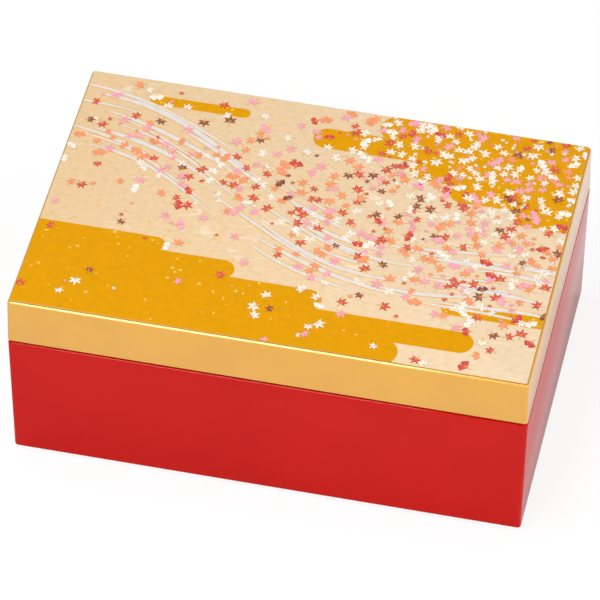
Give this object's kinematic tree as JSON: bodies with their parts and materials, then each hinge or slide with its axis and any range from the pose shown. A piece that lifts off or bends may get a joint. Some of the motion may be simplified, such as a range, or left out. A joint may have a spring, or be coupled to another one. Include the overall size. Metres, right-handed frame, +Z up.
{
  "type": "lacquer trinket box",
  "caption": "Rectangular lacquered wooden trinket box with a red base, a gold lid with a leafed picture panel, a velvet lining and a lid hinged at the back on brass stop hinges.",
  "frame": {"origin": "centre of the underside, on the surface that the box stands on", "axes": "+X to the right along the long side, +Y to the hinges at the back, +Z up"},
  "size_m": [0.18, 0.1255, 0.072],
  "materials": {
    "red_lacquer": "polished vermilion lacquer on wood",
    "gold_lacquer": "satin gold lacquer on wood",
    "gold_leaf": "champagne leaf on a thin veneer, with a painted design",
    "bare_board": "bare board",
    "velvet": "wine-red velvet",
    "felt": "dark felt",
    "bumper": "soft translucent rubber",
    "brass": "polished brass"
  },
  "bodies": {
    "base": {"base_front_board": "red_lacquer", "base_right_board": "red_lacquer", "base_back_board": "red_lacquer", "base_left_board": "red_lacquer", "base_bottom_board": "bare_board", "base_felt_sheet": "felt", "base_floor_pad": "velvet", "base_front_lining": "velvet", "base_back_lining": "velvet", "base_left_lining": "velvet", "base_right_lining": "velvet", "front_bumper_left": "bumper", "front_bumper_right": "bumper", "left_hinge_base_leaf": "brass", "right_hinge_base_leaf": "brass", "left_hinge_pin": "brass", "right_hinge_pin": "brass", "left_hinge_base_screw_1": "brass", "left_hinge_base_screw_2": "brass", "right_hinge_base_screw_1": "brass", "right_hinge_base_screw_2": "brass"},
    "lid": {"lid_front_board": "gold_lacquer", "lid_right_board": "gold_lacquer", "lid_back_board": "gold_lacquer", "lid_left_board": "gold_lacquer", "lid_top_board": "bare_board", "lid_picture_panel": "gold_leaf", "lid_ceiling_pad": "velvet", "lid_front_lining": "velvet", "lid_back_lining": "velvet", "lid_left_lining": "velvet", "lid_right_lining": "velvet", "left_hinge_lid_leaf": "brass", "right_hinge_lid_leaf": "brass", "left_hinge_lid_screw_1": "brass", "left_hinge_lid_screw_2": "brass", "right_hinge_lid_screw_1": "brass", "right_hinge_lid_screw_2": "brass"}
  },
  "joints": [
    {"name": "lid_hinge", "type": "hinge", "parent": "base", "child": "lid", "pos_m": [0, 0.0625, 0.05275], "axis": [-1, 0, 0], "range_deg": [0, 95]}
  ]
}
